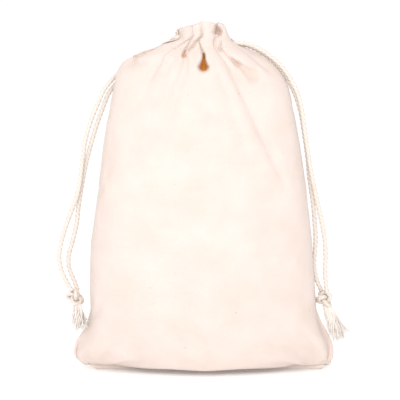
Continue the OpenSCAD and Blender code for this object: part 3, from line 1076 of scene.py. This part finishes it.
def stitch(start, end, out, thickness):
    """One stitch: it rises out of the cloth, lies along it and goes back in."""
    points = []
    for k in range(5):
        t = k / 4
        lift = thickness * (0.45 * math.sin(math.pi * t) - 0.15)
        points.append(start + (end - start) * t + out * lift)
    return tube(points, 6, lambda _angle, _run, share: thickness / 2
                * (0.75 + 0.25 * math.sin(math.pi * share)))


def add_sewing(name, parts, *nodes):
    """One piece of thread from its parts, which stands for nodes of the frame."""
    piece = add_solid(name, join_parts(parts), sewing_thread())
    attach(piece, "sack")
    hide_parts(*nodes)


class SACK_OT_channel_stitches(bpy.types.Operator):
    """Sew the turned hem down with a row of stitches below the channel"""
    bl_idname = "sack.channel_stitches"
    bl_label = "Channel Stitches"

    def execute(self, context):
        sewing = context.scene.sack_sewing
        pattern = Settled.pattern
        row = pattern.neck_v - CHANNEL_DROP
        for face in (FRONT, BACK):
            parts = []
            for k in range(int((pattern.width - 4 * MM) / sewing.pitch)):
                u = 2 * MM + (k + 0.5) * sewing.pitch
                start, out = on_cloth(face, u - 0.34 * sewing.pitch, row)
                end, _ = on_cloth(face, u + 0.34 * sewing.pitch, row)
                parts.append(stitch(start, end, out, sewing.thread))
            name = FACE_NAMES[face]
            add_sewing(f"{name}_channel_stitching", parts, f"{name}_channel_stitches")
        return {"FINISHED"}


class SACK_OT_seams(bpy.types.Operator):
    """Overlock the side seams and the bottom seam inside the sack"""
    bl_idname = "sack.seams"
    bl_label = "Seams"

    def execute(self, context):
        sewing = context.scene.sack_sewing
        pattern = Settled.pattern
        inset = 1.3 * MM
        for side in (LEFT, RIGHT):
            edge = 0 if side == LEFT else pattern.width
            points = []
            for j in range(4, pattern.vent_row - 1):
                here, _ = on_cloth(FRONT, edge, j * pattern.height / pattern.rows)
                wave = 0.35 * MM * (1 if j % 2 else -1)
                points.append(here + np.array([-side * (inset + 0.3 * wave), wave, 0]))
            path = smooth_path(points, 0.7 * MM)
            add_sewing(f"{SIDE_NAMES[side]}_side_seam", [tube(path, 6, even(sewing.thread))],
                       f"{SIDE_NAMES[side]}_seam_thread")
        points = []
        for i in range(5, pattern.columns - 4):
            here, _ = on_cloth(FRONT, i * pattern.width / pattern.columns, 0)
            points.append(here + np.array([0, 0.3 * MM * (1 if i % 2 else -1), inset]))
        path = smooth_path(points, 0.7 * MM)
        add_sewing("bottom_seam", [tube(path, 6, even(sewing.thread))], "bottom_seam_thread")
        return {"FINISHED"}


class SACK_OT_vent_tacks(bpy.types.Operator):
    """Bar-tack the top of each side seam, below its vent"""
    bl_idname = "sack.vent_tacks"
    bl_label = "Vent Tacks"

    def execute(self, context):
        sewing = context.scene.sack_sewing
        pattern = Settled.pattern
        row = (pattern.vent_row - 0.5) * pattern.height / pattern.rows
        for side in (LEFT, RIGHT):
            edge = 0 if side == LEFT else pattern.width
            inner = edge - side * 1.5 * MM
            parts = []
            for k in range(6):
                v = row - k * 0.9 * sewing.thread
                ends = [on_cloth(face, inner, v)[0] for face in (FRONT, BACK)]
                middle, _ = on_cloth(FRONT, edge, v)
                middle = middle + np.array([side * 0.55 * sewing.thread, 0, 0.2 * sewing.thread])
                path = smooth_path([ends[0], middle, ends[1]], 0.25 * MM)
                parts.append(tube(path, 6, even(sewing.thread)))
            add_sewing(f"{SIDE_NAMES[side]}_bar_tack", parts, f"{SIDE_NAMES[side]}_vent_tack")
        return {"FINISHED"}


# --- Run --------------------------------------------------------------------------------------

class SACK_PT_build(bpy.types.Panel):
    """Lists the sizes and the pieces of the sack"""
    bl_idname = "SACK_PT_build"
    bl_label = "Cotton Gift Sack"
    bl_space_type = "VIEW_3D"
    bl_region_type = "UI"
    bl_category = "Sack"

    def draw(self, context):
        layout = self.layout
        for name in SETTINGS:
            box = layout.box()
            group = getattr(context.scene, name)
            for prop in group.__annotations__:
                box.prop(group, prop)
        for operator in STEPS:
            layout.operator(operator.bl_idname)


SETTINGS = {
    "sack_cloth": SACK_PG_cloth, "sack_cord": SACK_PG_cord,
    "sack_sewing": SACK_PG_sewing, "sack_stage": SACK_PG_stage,
}
STEPS = (SACK_OT_stage, SACK_OT_knots, SACK_OT_frayed_ends, SACK_OT_strands, SACK_OT_cord_loops,
         SACK_OT_panels, SACK_OT_channel_stitches, SACK_OT_seams, SACK_OT_vent_tacks)


def register():
    for cls in (*SETTINGS.values(), *STEPS, SACK_PT_build):
        bpy.utils.register_class(cls)
    for name, group in SETTINGS.items():
        setattr(bpy.types.Scene, name, PointerProperty(type=group))


def unregister():
    for name in SETTINGS:
        delattr(bpy.types.Scene, name)
    for cls in reversed((*SETTINGS.values(), *STEPS, SACK_PT_build)):
        bpy.utils.unregister_class(cls)


def main():
    register()
    for operator in STEPS:
        family, action = operator.bl_idname.split(".")
        getattr(getattr(bpy.ops, family), action)()


if __name__ == "__main__":
    main()
